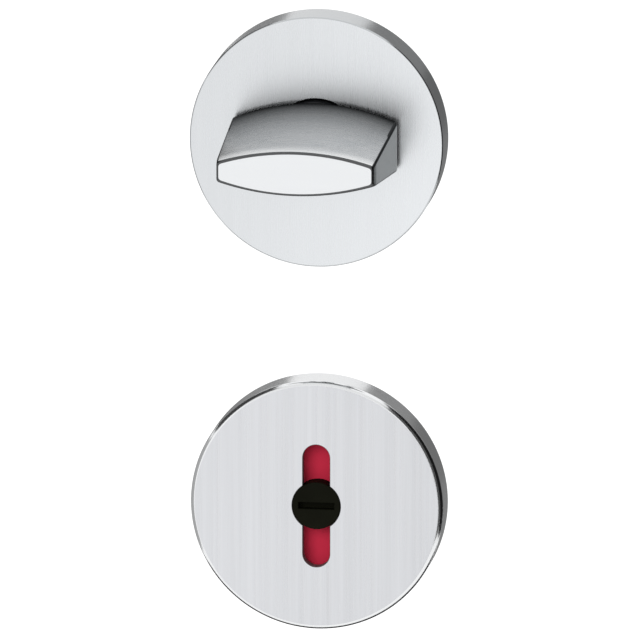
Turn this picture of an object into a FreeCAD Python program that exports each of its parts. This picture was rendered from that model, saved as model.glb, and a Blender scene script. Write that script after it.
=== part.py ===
import FreeCAD, Part
import math
import os

from FreeCAD import Vector

os.makedirs("parts", exist_ok=True)

# A bathroom lock set on round roses: the inside half with its thumb turn and, one rose spacing
# below it, the outside half with its indicator window and emergency release.
# Sizes in millimetres. The door face is the plane y = 0, the fronts face -Y and +Z is up.
# The origin is where the thumb turn's axis meets the door face.

# The set
rose_spacing = 76.0
rose_diameter = 52.0
rose_height = 8.2

# Rose covers
cover_wall = 1.6
cover_face = 2.2
turn_cover_bevel = 0.3
indicator_cover_round = 1.0
cover_back_bevel = 0.3
notch_width = 5.0
notch_height = 1.2

# Snap rings of square spring wire that hold the covers
snap_wire = 1.2
snap_bite = 0.35
snap_clearance = 0.1
snap_side_clearance = 0.05
snap_height = 2.9
snap_gap_angle = 24.0

# Moulded base plates
plate_clearance = 0.15
plate_front_gap = 0.4
plate_rim = 3.0
plate_web = 2.0
indicator_web = 1.6
plate_hub_diameter = 27.0
plate_recess_diameter = 23.6
rib_count = 8
rib_thickness = 1.4
rib_root = 0.8
boss_diameter = 10.4
lug_diameter = 8.0
lug_length = 5.0

# Fixings on a circle round each rose axis, 38 mm across on this rose
fixing_inset = 7.0
turn_fixing_angle = 135.0
wood_screw_hole = 4.0
wood_screw_sink = 7.0
screw_head = 7.5
screw_sink = 0.2
screw_shank = 3.5
screw_thread = 4.0
screw_hole = 4.5
screw_seat_clearance = 0.02
screw_runout = 1.0
screw_reach = 42.0
screw_point = 0.6
recess_span = 4.2
recess_width = 0.9
recess_depth = 1.5
sleeve_diameter = 7.0
sleeve_reach = 10.0
sleeve_bore = 3.3
sleeve_bore_floor = 1.2
sleeve_head_flats = 7.2
sleeve_head_height = 1.2
sleeve_clearance = 0.05
sleeve_wall = 0.5

# Thumb turn: a grip that flares from a small lens at the front to a larger one at the back
grip_gap = 2.0
grip_depth = 28.0
grip_front_length = 32.4
grip_front_middle = 9.35
grip_front_end = 4.35
grip_back_length = 33.9
grip_back_middle = 17.2
grip_back_end = 10.15
grip_edge_bevel = 0.3
neck_diameter = 17.5
neck_clearance = 0.3
shoulder_clearance = 0.05
journal_diameter = 14.0
turn_journal_tail = 2.0

# Square drive
spindle_width = 8.0
spindle_bevel = 0.6
spindle_reach = 48.0
socket_clearance = 0.05
socket_depth_in_grip = 3.0
socket_end_gap = 0.2
pin_diameter = 2.0
pin_clearance = 0.02
pin_inset = 0.1

# Bearing, washers and retaining rings on the journals
bush_wall = 1.2
bush_running_clearance = 0.03
bush_seat_clearance = 0.02
turn_bush_length = 2.6
bush_flange_diameter = 19.6
bush_flange_thickness = 1.0
washer_diameter = 22.0
washer_thickness = 0.5
washer_clearance = 0.3
spring_sheet = 0.3
spring_height = 0.9
ring_play = 0.05
ring_thickness = 1.0
ring_groove_depth = 0.3
ring_width = 2.1
ring_seat_clearance = 0.02
ring_opening_angle = 36.0
ring_ear_diameter = 3.4
ring_ear_offset = 2.2
ring_ear_hole = 1.6

# Indicator window, disc and release hub
window_margin = 1.2
window_width = 5.6
hub_diameter = 9.8
hub_clearance = 0.1
hub_tail = 6.0
hub_socket_floor = 0.9
coin_slot_length = 7.4
coin_slot_width = 1.4
coin_slot_depth = 1.6
dog_diameter = 1.4
dog_length = 0.6
dog_clearance = 0.05
dog_angle = 45.0
disc_gap = 1.2
disc_thickness = 1.2
disc_pocket_clearance = 0.3
disc_bore_clearance = 0.05
red_field_depth = 0.35
red_field_angle = 89.0
red_field_edge = 0.3
red_field_clearance = 0.02

# Radii and levels that follow from the sizes
rose_axis = Vector(0, 1, 0)
rose_radius = rose_diameter / 2
cover_front = -rose_height
cover_inside = cover_front + cover_face
cover_bore = rose_radius - cover_wall
plate_radius = cover_bore - plate_clearance
plate_front = cover_inside + plate_front_gap
rim_inside = plate_radius - plate_rim
fixing_radius = rose_radius - fixing_inset
turn_fixings = (turn_fixing_angle, turn_fixing_angle + 180)
wood_screw_angles = (turn_fixing_angle + 90, turn_fixing_angle + 270)
indicator_fixings = (180 - turn_fixing_angle, 360 - turn_fixing_angle)
journal_radius = journal_diameter / 2
groove_radius = journal_radius - ring_groove_depth
bush_radius = journal_radius + bush_running_clearance + bush_wall
socket_width = spindle_width + 2 * socket_clearance

# Levels of the inside half, from the grip to the retaining ring
grip_back = cover_front - grip_gap
grip_front = grip_back - grip_depth
turn_shoulder = plate_front - shoulder_clearance
turn_bush_back = plate_front + turn_bush_length
spring_back = turn_bush_back + spring_height
turn_washer_back = spring_back + washer_thickness
turn_ring_front = turn_washer_back + ring_play
turn_journal_end = turn_ring_front + ring_thickness + turn_journal_tail
turn_socket_end = grip_back - socket_depth_in_grip
pin_level = (turn_shoulder + turn_bush_back) / 2

# Levels of the outside half, from the disc to the retaining ring
disc_front = cover_inside + disc_gap
disc_back = disc_front + disc_thickness
pocket_floor = disc_back + disc_pocket_clearance
indicator_web_back = pocket_floor + indicator_web
indicator_washer_back = indicator_web_back + washer_thickness
indicator_ring_front = indicator_washer_back + ring_play
hub_end = indicator_ring_front + ring_thickness + hub_tail
hub_socket_end = disc_back + hub_socket_floor
sleeve_head_radius = sleeve_head_flats / math.sqrt(3)
pocket_radius = fixing_radius - sleeve_head_radius - sleeve_clearance - sleeve_wall
disc_radius = pocket_radius - disc_pocket_clearance
window_length = 2 * (disc_radius - window_margin)
disc_bore = hub_diameter / 2 + disc_bore_clearance


def rod(diameter, front, back):
    """Cylinder on the rose axis between two levels."""
    return Part.makeCylinder(diameter / 2, back - front, Vector(0, front, 0), rose_axis)


def cone(front_diameter, back_diameter, front, back):
    """Cone on the rose axis between two levels."""
    return Part.makeCone(front_diameter / 2, back_diameter / 2, back - front, Vector(0, front, 0), rose_axis)


def tube(outer_diameter, inner_diameter, front, back):
    """Ring with a square section on the rose axis."""
    return rod(outer_diameter, front, back).cut(rod(inner_diameter, front, back))


def block(length, height, front, back):
    """Box centred on the rose axis between two levels."""
    return Part.makeBox(length, back - front, height, Vector(-length / 2, front, -height / 2))


def circle_edges(shape, diameter, level):
    """Round edges of a shape with this diameter at this level."""
    found = []
    for edge in shape.Edges:
        curve = edge.Curve
        if not isinstance(curve, Part.Circle):
            continue
        if math.isclose(curve.Radius, diameter / 2, abs_tol=1e-4) and math.isclose(
            curve.Center.y, level, abs_tol=1e-4
        ):
            found.append(edge)
    return found


def at_fixing(shape, angle):
    """Copy of a shape made on the rose axis, moved to the fixing circle at an angle from +X."""
    turn = math.radians(angle)
    moved = shape.copy()
    moved.translate(Vector(fixing_radius * math.cos(turn), 0, fixing_radius * math.sin(turn)))
    return moved


def turned_by(shape, angle):
    """Copy of a shape turned about the rose axis."""
    turned = shape.copy()
    turned.rotate(Vector(0, 0, 0), rose_axis, angle)
    return turned


def snap_groove(floor_diameter, mouth_diameter):
    """Ring of space for the snap wire, between two diameters."""
    half = snap_wire / 2 + snap_side_clearance
    outer = max(floor_diameter, mouth_diameter)
    inner = min(floor_diameter, mouth_diameter)
    return tube(outer, inner, -snap_height - half, -snap_height + half)


def cover_cup():
    """Round cup that both covers start from, with its snap groove and pry notch."""
    cup = rod(rose_diameter, cover_front, 0)
    cup = cup.makeChamfer(cover_back_bevel, circle_edges(cup, rose_diameter, 0))
    cup = cup.cut(rod(2 * cover_bore, cover_inside, 0))
    wire_reach = snap_bite + snap_clearance
    cup = cup.cut(snap_groove(2 * (cover_bore + wire_reach), 2 * cover_bore))
    notch = block(notch_width, 2 * cover_wall, -notch_height, 0)
    notch.translate(Vector(0, 0, -rose_radius))
    return cup.cut(notch)


def make_turn_rose_cover():
    """Cup with a sharp front edge and a round hole for the neck."""
    cup = cover_cup()
    cup = cup.makeChamfer(turn_cover_bevel, circle_edges(cup, rose_diameter, cover_front))
    return cup.cut(rod(neck_diameter + 2 * neck_clearance, cover_front, cover_inside))


def make_indicator_rose_cover():
    """Cup with a rounded front edge, a hub hole and one long window slot across it."""
    cup = cover_cup()
    cup = cup.makeFillet(indicator_cover_round, circle_edges(cup, rose_diameter, cover_front))
    straight = window_length - window_width
    window = block(window_width, straight, cover_front, cover_inside)
    for side in (-1, 1):
        end = rod(window_width, cover_front, cover_inside)
        end.translate(Vector(0, 0, side * straight / 2))
        window = window.fuse(end)
    hub_hole = rod(hub_diameter + 2 * hub_clearance, cover_front, cover_inside)
    return cup.cut(window.fuse(hub_hole)).removeSplitter()


def with_opening(ring, radius, angle, front, back):
    """Ring cut open at the bottom by a wedge between two levels."""
    reach = 2 * radius
    sideways = reach * math.sin(math.radians(angle / 2))
    down = -reach * math.cos(math.radians(angle / 2))
    apex = Vector(0, front, 0)
    outline = Part.makePolygon([apex, Vector(-sideways, front, down), Vector(sideways, front, down), apex])
    return ring.cut(Part.Face(outline).extrude(Vector(0, back - front, 0)))


def make_cover_spring():
    """Open ring of square spring wire, its gap over the pry notch."""
    outer = cover_bore + snap_bite
    front = -snap_height - snap_wire / 2
    back = front + snap_wire
    ring = tube(2 * outer, 2 * (outer - snap_wire), front, back)
    return with_opening(ring, outer, snap_gap_angle, front, back)


def plate_blank(web_back):
    """Moulded disc whose back is open between a rim, a hub, ribs and screw bosses."""
    plate = rod(2 * plate_radius, plate_front, 0)
    plate = plate.cut(tube(2 * rim_inside, plate_hub_diameter, web_back, 0))
    hub_radius = plate_hub_diameter / 2
    rib = Part.makeBox(
        rim_inside - hub_radius + 2 * rib_root,
        -web_back,
        rib_thickness,
        Vector(hub_radius - rib_root, web_back, -rib_thickness / 2),
    )
    ribs = [turned_by(rib, index * 360 / rib_count) for index in range(rib_count)]
    boss = rod(boss_diameter, web_back, 0)
    bosses = [at_fixing(boss, angle) for angle in turn_fixings + wood_screw_angles]
    plate = plate.fuse(ribs + bosses).common(rod(2 * plate_radius, plate_front, 0))
    groove_floor = cover_bore + snap_bite - snap_wire - snap_clearance
    return plate.cut(snap_groove(2 * groove_floor, 2 * plate_radius)).removeSplitter()


def wood_screw_holes(angles):
    """Through holes with sinks for wood screws."""
    sink_depth = (wood_screw_sink - wood_screw_hole) / 2
    hole = rod(wood_screw_hole, plate_front, 0)
    hole = hole.fuse(cone(wood_screw_sink, wood_screw_hole, plate_front, plate_front + sink_depth))
    return [at_fixing(hole, angle) for angle in angles]


def make_turn_base_plate():
    """Under-rose of the inside half, with support lugs round its screws."""
    plate = plate_blank(plate_front + plate_web)
    lug = rod(lug_diameter, plate_front + plate_web, lug_length)
    plate = plate.fuse([at_fixing(lug, angle) for angle in turn_fixings])
    bush_seat = rod(2 * (bush_radius + bush_seat_clearance), plate_front, 0)
    flange_seat = rod(
        bush_flange_diameter + 2 * bush_seat_clearance, plate_front, plate_front + bush_flange_thickness
    )
    washer_recess = rod(plate_recess_diameter, turn_bush_back, 0)
    plate = plate.cut([bush_seat, flange_seat, washer_recess])
    head_front = plate_front + screw_sink
    head_seat = screw_head + 2 * screw_seat_clearance
    seat_back = head_front + (head_seat - screw_hole) / 2
    hole = rod(screw_hole, plate_front, lug_length)
    hole = hole.fuse(cone(head_seat, screw_hole, head_front, seat_back))
    hole = hole.fuse(rod(head_seat, plate_front, head_front))
    screw_holes = [at_fixing(hole, angle) for angle in turn_fixings]
    return plate.cut(screw_holes + wood_screw_holes(wood_screw_angles)).removeSplitter()


def hexagon(flats, front, back):
    """Six-sided prism on the rose axis."""
    corner_radius = flats / math.sqrt(3)
    corners = []
    for index in range(6):
        turn = math.radians(60 * index)
        corners.append(Vector(corner_radius * math.cos(turn), front, corner_radius * math.sin(turn)))
    outline = Part.makePolygon(corners + corners[:1])
    return Part.Face(outline).extrude(Vector(0, back - front, 0))


def make_indicator_base_plate():
    """Under-rose of the outside half, with a pocket for the disc and seats for the sleeves."""
    plate = plate_blank(indicator_web_back)
    pocket = rod(2 * pocket_radius, plate_front, pocket_floor)
    bush_seat = rod(2 * (bush_radius + bush_seat_clearance), pocket_floor, 0)
    washer_recess = rod(plate_recess_diameter, indicator_web_back, 0)
    plate = plate.cut([pocket, bush_seat, washer_recess])
    seat = rod(sleeve_diameter + 2 * sleeve_clearance, plate_front, 0)
    head_seat = hexagon(
        sleeve_head_flats + 2 * sleeve_clearance, plate_front, plate_front + sleeve_head_height
    )
    seat = seat.fuse(head_seat)
    sleeve_seats = [at_fixing(seat, angle) for angle in indicator_fixings]
    return plate.cut(sleeve_seats + wood_screw_holes(turn_fixings)).removeSplitter()


def lens_outline(level, length, middle, end):
    """Outline of a lens with cut-off ends: two arcs joined by two short upright lines."""
    half = length / 2
    left_top = Vector(-half, level, end / 2)
    right_top = Vector(half, level, end / 2)
    right_low = Vector(half, level, -end / 2)
    left_low = Vector(-half, level, -end / 2)
    top = Part.Arc(left_top, Vector(0, level, middle / 2), right_top).toShape()
    low = Part.Arc(right_low, Vector(0, level, -middle / 2), left_low).toShape()
    right = Part.makeLine(right_top, right_low)
    left = Part.makeLine(left_low, left_top)
    return Part.Wire([top, right, low, left])


def make_grip():
    """Flared grip whose front face has a fine bevel round it."""
    share = grip_edge_bevel / grip_depth
    sizes = [
        (grip_front_length, grip_back_length),
        (grip_front_middle, grip_back_middle),
        (grip_front_end, grip_back_end),
    ]
    bevel_back = [front + share * (back - front) for front, back in sizes]
    face = [size - 2 * grip_edge_bevel for size in bevel_back]
    outlines = [
        lens_outline(grip_front, *face),
        lens_outline(grip_front + grip_edge_bevel, *bevel_back),
        lens_outline(grip_back, grip_back_length, grip_back_middle, grip_back_end),
    ]
    return Part.makeLoft(outlines, True, True)


def ring_groove(ring_front, outer_diameter):
    """Space cut into a journal for its retaining ring."""
    front = ring_front - ring_play
    back = ring_front + ring_thickness + ring_play
    return tube(outer_diameter, 2 * groove_radius, front, back)


def make_pin_hole():
    """Cross hole for the spindle pin, longer than the journal is wide."""
    half = journal_radius + pin_diameter
    radius = pin_diameter / 2 + pin_clearance
    return Part.makeCylinder(radius, 2 * half, Vector(-half, pin_level, 0), Vector(1, 0, 0))


def make_thumb_turn():
    """Grip, neck and journal in one piece, with a square socket from the back."""
    neck = rod(neck_diameter, grip_back, turn_shoulder)
    journal = rod(journal_diameter, turn_shoulder, turn_journal_end)
    turn = make_grip().fuse([neck, journal])
    socket = block(socket_width, socket_width, turn_socket_end, turn_journal_end)
    groove = ring_groove(turn_ring_front, journal_diameter)
    return turn.cut([socket, groove, make_pin_hole()]).removeSplitter()


def make_turn_bush():
    """Flanged bush between the journal and the plate."""
    flange = rod(bush_flange_diameter, plate_front, plate_front + bush_flange_thickness)
    body = rod(2 * bush_radius, plate_front, turn_bush_back)
    bore = rod(2 * (journal_radius + bush_running_clearance), plate_front, turn_bush_back)
    return body.fuse(flange).cut(bore).removeSplitter()


def make_indicator_bush():
    """Plain bush between the hub and the plate."""
    inner = 2 * (journal_radius + bush_running_clearance)
    return tube(2 * bush_radius, inner, pocket_floor, indicator_web_back)


def make_thrust_washer(back):
    """Flat washer in front of a retaining ring."""
    return tube(washer_diameter, journal_diameter + 2 * washer_clearance, back - washer_thickness, back)


def make_spring_washer():
    """Washer bowed about the X axis, its crest against the thrust washer."""
    rise = spring_height - spring_sheet
    half_width = washer_diameter / 2
    bend_radius = (half_width**2 + rise**2) / (2 * rise) + spring_sheet
    centre = Vector(-half_width, spring_back - bend_radius, 0)
    along = Vector(1, 0, 0)
    outer = Part.makeCylinder(bend_radius, washer_diameter, centre, along)
    inner = Part.makeCylinder(bend_radius - spring_sheet, washer_diameter, centre, along)
    blank = tube(
        washer_diameter, journal_diameter + 2 * washer_clearance, turn_bush_back - spring_height, spring_back
    )
    return blank.common(outer.cut(inner))


def make_retaining_ring(front):
    """Open ring with two drilled ears, sprung into a journal groove."""
    back = front + ring_thickness
    inner = 2 * (groove_radius + ring_seat_clearance)
    ring = tube(inner + 2 * ring_width, inner, front, back)
    ring = with_opening(ring, inner / 2 + ring_width, ring_opening_angle, front, back)
    ear_radius = inner / 2 + ring_ear_offset
    ear_turn = math.radians(ring_opening_angle / 2) + ring_ear_diameter / 2 / ear_radius
    for side in (-1, 1):
        centre = Vector(side * ear_radius * math.sin(ear_turn), 0, -ear_radius * math.cos(ear_turn))
        ear = rod(ring_ear_diameter, front, back)
        ear.translate(centre)
        hole = rod(ring_ear_hole, front, back)
        hole.translate(centre)
        ring = ring.fuse(ear).cut(hole)
    return ring.cut(rod(inner, front, back)).removeSplitter()


def make_spindle():
    """Square bar with bevelled ends."""
    front = turn_socket_end + socket_end_gap
    bar = block(spindle_width, spindle_width, front, spindle_reach)
    ends = [
        edge
        for edge in bar.Edges
        if math.isclose(edge.CenterOfMass.y, front, abs_tol=1e-4)
        or math.isclose(edge.CenterOfMass.y, spindle_reach, abs_tol=1e-4)
    ]
    return bar.makeChamfer(spindle_bevel, ends).cut(make_pin_hole())


def make_spindle_pin():
    """Pin across the journal and the spindle."""
    half = journal_radius - pin_inset
    return Part.makeCylinder(pin_diameter / 2, 2 * half, Vector(-half, pin_level, 0), Vector(1, 0, 0))


def make_fixing_screw():
    """Countersunk machine screw with a cross recess; the shank is slimmer than the thread."""
    head_front = plate_front + screw_sink
    cone_back = head_front + (screw_head - screw_shank) / 2
    thread_front = lug_length + screw_runout
    point_front = screw_reach - screw_point
    screw = cone(screw_head, screw_shank, head_front, cone_back)
    screw = screw.fuse(
        [
            rod(screw_shank, cone_back, thread_front),
            rod(screw_thread, thread_front, point_front),
            cone(screw_thread, screw_thread - 2 * screw_point, point_front, screw_reach),
        ]
    )
    upright = block(recess_width, recess_span, head_front, head_front + recess_depth)
    level = block(recess_span, recess_width, head_front, head_front + recess_depth)
    return screw.cut([upright, level]).removeSplitter()


def make_threaded_sleeve():
    """Sleeve with a six-sided head in front and its bore open towards the door."""
    head = hexagon(sleeve_head_flats, plate_front, plate_front + sleeve_head_height)
    body = rod(sleeve_diameter, plate_front, sleeve_reach)
    bore = rod(sleeve_bore, plate_front + sleeve_bore_floor, sleeve_reach)
    return body.fuse(head).cut(bore).removeSplitter()


def make_release_hub():
    """Black hub: coin slot in front, two dogs for the disc, square socket at the back."""
    head = rod(hub_diameter, cover_front, disc_back)
    journal = rod(journal_diameter, disc_back, hub_end)
    hub = head.fuse([journal] + dogs(dog_diameter, dog_length))
    socket = block(socket_width, socket_width, hub_socket_end, hub_end)
    groove = ring_groove(indicator_ring_front, journal_diameter)
    coin_slot = block(coin_slot_length, coin_slot_width, cover_front, cover_front + coin_slot_depth)
    return hub.cut([socket, groove, coin_slot]).removeSplitter()


def dogs(diameter, length):
    """Two pegs in front of the hub's shoulder, between its head and its rim."""
    radius = (hub_diameter / 2 + journal_radius) / 2
    turn = math.radians(dog_angle)
    pegs = []
    for side in (-1, 1):
        peg = rod(diameter, disc_back - length, disc_back)
        peg.translate(Vector(side * radius * math.cos(turn), 0, side * radius * math.sin(turn)))
        pegs.append(peg)
    return pegs


def field_sectors(edge_clearance, back):
    """Two flat sectors of the disc's front, above and below the hub, from its bore outwards."""
    inner = disc_bore - edge_clearance
    outer = disc_radius - red_field_edge + edge_clearance
    angle = red_field_angle + 2 * math.degrees(edge_clearance / inner)
    corners = [
        Vector(inner, disc_front, 0),
        Vector(outer, disc_front, 0),
        Vector(outer, back, 0),
        Vector(inner, back, 0),
    ]
    section = Part.Face(Part.makePolygon(corners + corners[:1]))
    sector = turned_by(section.revolve(Vector(0, 0, 0), rose_axis, angle), 90 - angle / 2)
    return [sector, turned_by(sector, 180)]


def make_indicator_disc():
    """White disc with sunk fields in front and blind holes for the dogs behind."""
    disc = tube(2 * disc_radius, 2 * disc_bore, disc_front, disc_back)
    fields = field_sectors(red_field_clearance, disc_front + red_field_depth)
    holes = dogs(dog_diameter + 2 * dog_clearance, dog_length + dog_clearance)
    return disc.cut(fields + holes)


def export(node, solids):
    """Write one node's solids to its own file."""
    shape = solids[0] if len(solids) == 1 else Part.makeCompound(solids)
    shape.exportStep(f"parts/{node}.step")
    print(node, len(shape.Solids), round(shape.Volume, 2), shape.isValid())


def lowered(solids):
    """Solids of the outside half, moved down to its own axis."""
    moved = [solid.copy() for solid in solids]
    for solid in moved:
        solid.translate(Vector(0, 0, -rose_spacing))
    return moved


inside_half = {
    "turn_rose_cover": [make_turn_rose_cover()],
    "turn_base_plate": [make_turn_base_plate()],
    "thumb_turn": [make_thumb_turn()],
    "turn_bush": [make_turn_bush()],
    "turn_spring_washer": [make_spring_washer()],
    "turn_thrust_washer": [make_thrust_washer(turn_washer_back)],
    "turn_retaining_ring": [make_retaining_ring(turn_ring_front)],
    "spindle": [make_spindle()],
    "spindle_pin": [make_spindle_pin()],
    "fixing_screws": [at_fixing(make_fixing_screw(), angle) for angle in turn_fixings],
    "turn_cover_spring": [make_cover_spring()],
}

outside_half = {
    "indicator_rose_cover": [make_indicator_rose_cover()],
    "indicator_base_plate": [make_indicator_base_plate()],
    "indicator_disc": [make_indicator_disc()],
    "indicator_red_fields": field_sectors(0, disc_front + red_field_depth),
    "release_hub": [make_release_hub()],
    "indicator_bush": [make_indicator_bush()],
    "indicator_thrust_washer": [make_thrust_washer(indicator_washer_back)],
    "indicator_retaining_ring": [make_retaining_ring(indicator_ring_front)],
    "threaded_sleeves": [at_fixing(make_threaded_sleeve(), angle) for angle in indicator_fixings],
    "indicator_cover_spring": [make_cover_spring()],
}

for node, solids in inside_half.items():
    export(node, solids)
for node, solids in outside_half.items():
    export(node, lowered(solids))
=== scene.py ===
from math import acos, asin, atan2, cos, pi, radians, sin, sqrt

import bmesh
import bpy
from bpy.props import FloatProperty, FloatVectorProperty, IntProperty, PointerProperty
from mathutils import Matrix, Vector


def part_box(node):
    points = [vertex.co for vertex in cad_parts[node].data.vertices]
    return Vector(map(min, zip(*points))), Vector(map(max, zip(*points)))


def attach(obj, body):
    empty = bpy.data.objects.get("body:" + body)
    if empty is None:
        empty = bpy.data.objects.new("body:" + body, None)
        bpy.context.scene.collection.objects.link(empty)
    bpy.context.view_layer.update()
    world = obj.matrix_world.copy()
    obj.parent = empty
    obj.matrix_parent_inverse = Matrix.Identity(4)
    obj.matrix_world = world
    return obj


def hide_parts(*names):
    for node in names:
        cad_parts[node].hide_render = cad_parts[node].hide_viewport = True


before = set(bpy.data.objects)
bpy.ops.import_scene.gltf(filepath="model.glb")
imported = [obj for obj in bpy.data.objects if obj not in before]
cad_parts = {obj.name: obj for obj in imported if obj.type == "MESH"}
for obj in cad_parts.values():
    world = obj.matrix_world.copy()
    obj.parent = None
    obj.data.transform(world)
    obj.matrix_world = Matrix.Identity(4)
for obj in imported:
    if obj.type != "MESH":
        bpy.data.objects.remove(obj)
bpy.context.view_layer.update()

bl_info = {
    "name": "Bathroom Thumb Turn Lock",
    "version": (1, 0, 0),
    "blender": (4, 5, 0),
    "location": "3D View > Sidebar > Lock",
    "description": "Dresses the two roses of a bathroom lock set in brushed steel, zinc and moulded plastic",
    "category": "Object",
}

MM = 0.001
FULL_TURN = 2 * pi
QUARTER = pi / 2
COVER_LOW, COVER_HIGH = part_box("turn_rose_cover")
LOWER_LOW, LOWER_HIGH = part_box("indicator_rose_cover")
TURN_LOW, TURN_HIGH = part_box("thumb_turn")
HUB_LOW, HUB_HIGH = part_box("release_hub")
SCREW_LOW, SCREW_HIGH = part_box("fixing_screws")
SLEEVE_LOW, SLEEVE_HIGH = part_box("threaded_sleeves")
DISC_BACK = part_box("indicator_disc")[1][1]
LOWER_AXIS = (LOWER_LOW[2] + LOWER_HIGH[2]) / 2

SHARP = 40.0  # degrees past which an edge stays crisp
TOOLED = 35.0  # degrees past which an edge of a CAD node is softened
FINE = 0.1 * MM  # softening of the finest edges
SCRATCH = 0.004 * MM  # depth of the relief on metal
MOULD = 0.012 * MM  # depth of the relief on plastic
RING_GROOVE = 0.3 * MM  # depth of a retaining ring's groove
RING_PLAY = 0.05 * MM  # play on each side of a retaining ring
THREAD_FLAT = 0.15  # share of a thread's rise that is cut flat at its root, and at its crest


def length(name, description, default):
    """A size that a user may change, in metres."""
    return FloatProperty(name=name, description=description, default=default, min=0.0, unit="LENGTH", precision=5)


def angular(name, description, degrees):
    """An angle that a user may change."""
    return FloatProperty(name=name, description=description, default=radians(degrees), subtype="ANGLE")


def colour(name, description, default):
    """A linear colour that a user may change."""
    return FloatVectorProperty(
        name=name, description=description, default=default, subtype="COLOR", size=3, min=0, max=1
    )


class LockRoseSizes(bpy.types.PropertyGroup):
    """Sizes that both rose covers share, and those of their edges."""

    radius: length("Radius", "Outer radius of a rose", COVER_HIGH[0])
    wall: length("Wall", "Thickness of a cover's side wall", 1.6 * MM)
    face: length("Face", "Thickness of a cover's front", 2.2 * MM)
    neck_hole: length("Neck hole", "Radius of the hole for the thumb turn's neck", 9.05 * MM)
    turn_edge: length("Turn edge", "Rounding of the inside rose's crisp front edge", 0.3 * MM)
    indicator_edge: length("Indicator edge", "Rounding of the outside rose's soft front edge", 1.3 * MM)
    crown: length("Crown", "How far the outside rose's face falls away before its edge", 0.12 * MM)
    crown_width: length("Crown width", "Width of the ring over which the face falls away", 5.0 * MM)
    back_bevel: length("Back bevel", "Bevel of a cover's back edge", 0.3 * MM)
    notch_width: length("Notch width", "Width of the pry notch in the back edge", 5.0 * MM)
    notch_height: length("Notch height", "Height of the pry notch", 1.2 * MM)
    groove_depth: length("Groove depth", "Depth of the groove for the snap ring", 0.45 * MM)
    groove_front: length("Groove front", "Distance of the groove's front wall from the door", 3.55 * MM)
    groove_back: length("Groove back", "Distance of the groove's back wall from the door", 2.25 * MM)
    steps: IntProperty(name="Steps", description="Segments round a cover", default=288, min=24)


class LockWindowSizes(bpy.types.PropertyGroup):
    """Sizes of the window slot, the release hub and its coin slot."""

    half_width: length("Half width", "Half the width of the window slot", 2.8 * MM)
    half_length: length("Half length", "Half the length of the window slot", 12.793 * MM)
    hub_hole: length("Hub hole", "Radius of the hole for the release hub", 5.0 * MM)
    edge: length("Edge", "Fine rounding of the window's rim", 0.1 * MM)
    hub: length("Hub", "Radius of the hub's head", 4.9 * MM)
    hub_edge: length("Hub edge", "Rounding of the hub's front edge", 0.15 * MM)
    coin_length: length("Coin length", "Half the length of the coin slot", 3.7 * MM)
    coin_width: length("Coin width", "Half the width of the coin slot", 0.7 * MM)
    coin_depth: length("Coin depth", "Depth of the coin slot", 1.6 * MM)
    journal: length("Journal", "Radius of the hub's journal", 7.0 * MM)
    socket: length("Socket", "Half the width of the square socket", 4.05 * MM)


class LockGripSizes(bpy.types.PropertyGroup):
    """Sizes of the thumb turn's flared grip."""

    depth: length("Depth", "Depth of the grip from front to back", 28.0 * MM)
    front_length: length("Front length", "Length of the front outline", 32.4 * MM)
    front_middle: length("Front middle", "Height of the front outline in its middle", 9.35 * MM)
    front_end: length("Front end", "Height of the front outline at its ends", 4.35 * MM)
    back_length: length("Back length", "Length of the back outline", 33.9 * MM)
    back_middle: length("Back middle", "Height of the back outline in its middle", 17.2 * MM)
    back_end: length("Back end", "Height of the back outline at its ends", 10.15 * MM)
    edge: length("Edge", "Rounding of the edge round the front", 0.45 * MM)
    roll: length("Roll", "How far polishing has rolled the flanks off towards the front", 0.15 * MM)
    roll_reach: length("Roll reach", "Depth over which the flanks roll off", 3.0 * MM)
    corner: length("Corner", "Rounding of the four corners of the outline", 0.6 * MM)
    neck: length("Neck", "Radius of the neck", 8.75 * MM)
    shoulder: length("Shoulder", "Distance of the neck's end from the door", 5.65 * MM)
    journal: length("Journal", "Radius of the journal", 7.0 * MM)
    socket: length("Socket", "Half the width of the square socket", 4.05 * MM)


class LockFixingSizes(bpy.types.PropertyGroup):
    """Sizes of the machine screws, their sleeves and the snap rings."""

    pitch: length("Pitch", "Pitch of the thread", 0.7 * MM)
    core: length("Core", "Core radius of the thread", 1.65 * MM)
    crest: length("Crest", "Outer radius of the thread", 2.0 * MM)
    shank: length("Shank", "Radius of the plain shank", 1.75 * MM)
    head: length("Head", "Radius of the countersunk head", 3.75 * MM)
    thread_front: length("Thread front", "Distance behind the door face where the thread starts", 6.0 * MM)
    sleeve: length("Sleeve", "Outer radius of a sleeve", 3.5 * MM)
    sleeve_flats: length("Sleeve flats", "Half the width across the flats of a sleeve's head", 3.6 * MM)
    wire: length("Wire", "Thickness of the snap ring's square wire", 1.2 * MM)
    wire_radius: length("Wire radius", "Radius of the wire's centre line", 24.15 * MM)
    wire_level: length("Wire level", "Distance of the wire's centre from the door", 2.9 * MM)
    wire_opening: angular("Wire opening", "Angle that a snap ring leaves open at the bottom", 24)


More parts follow.
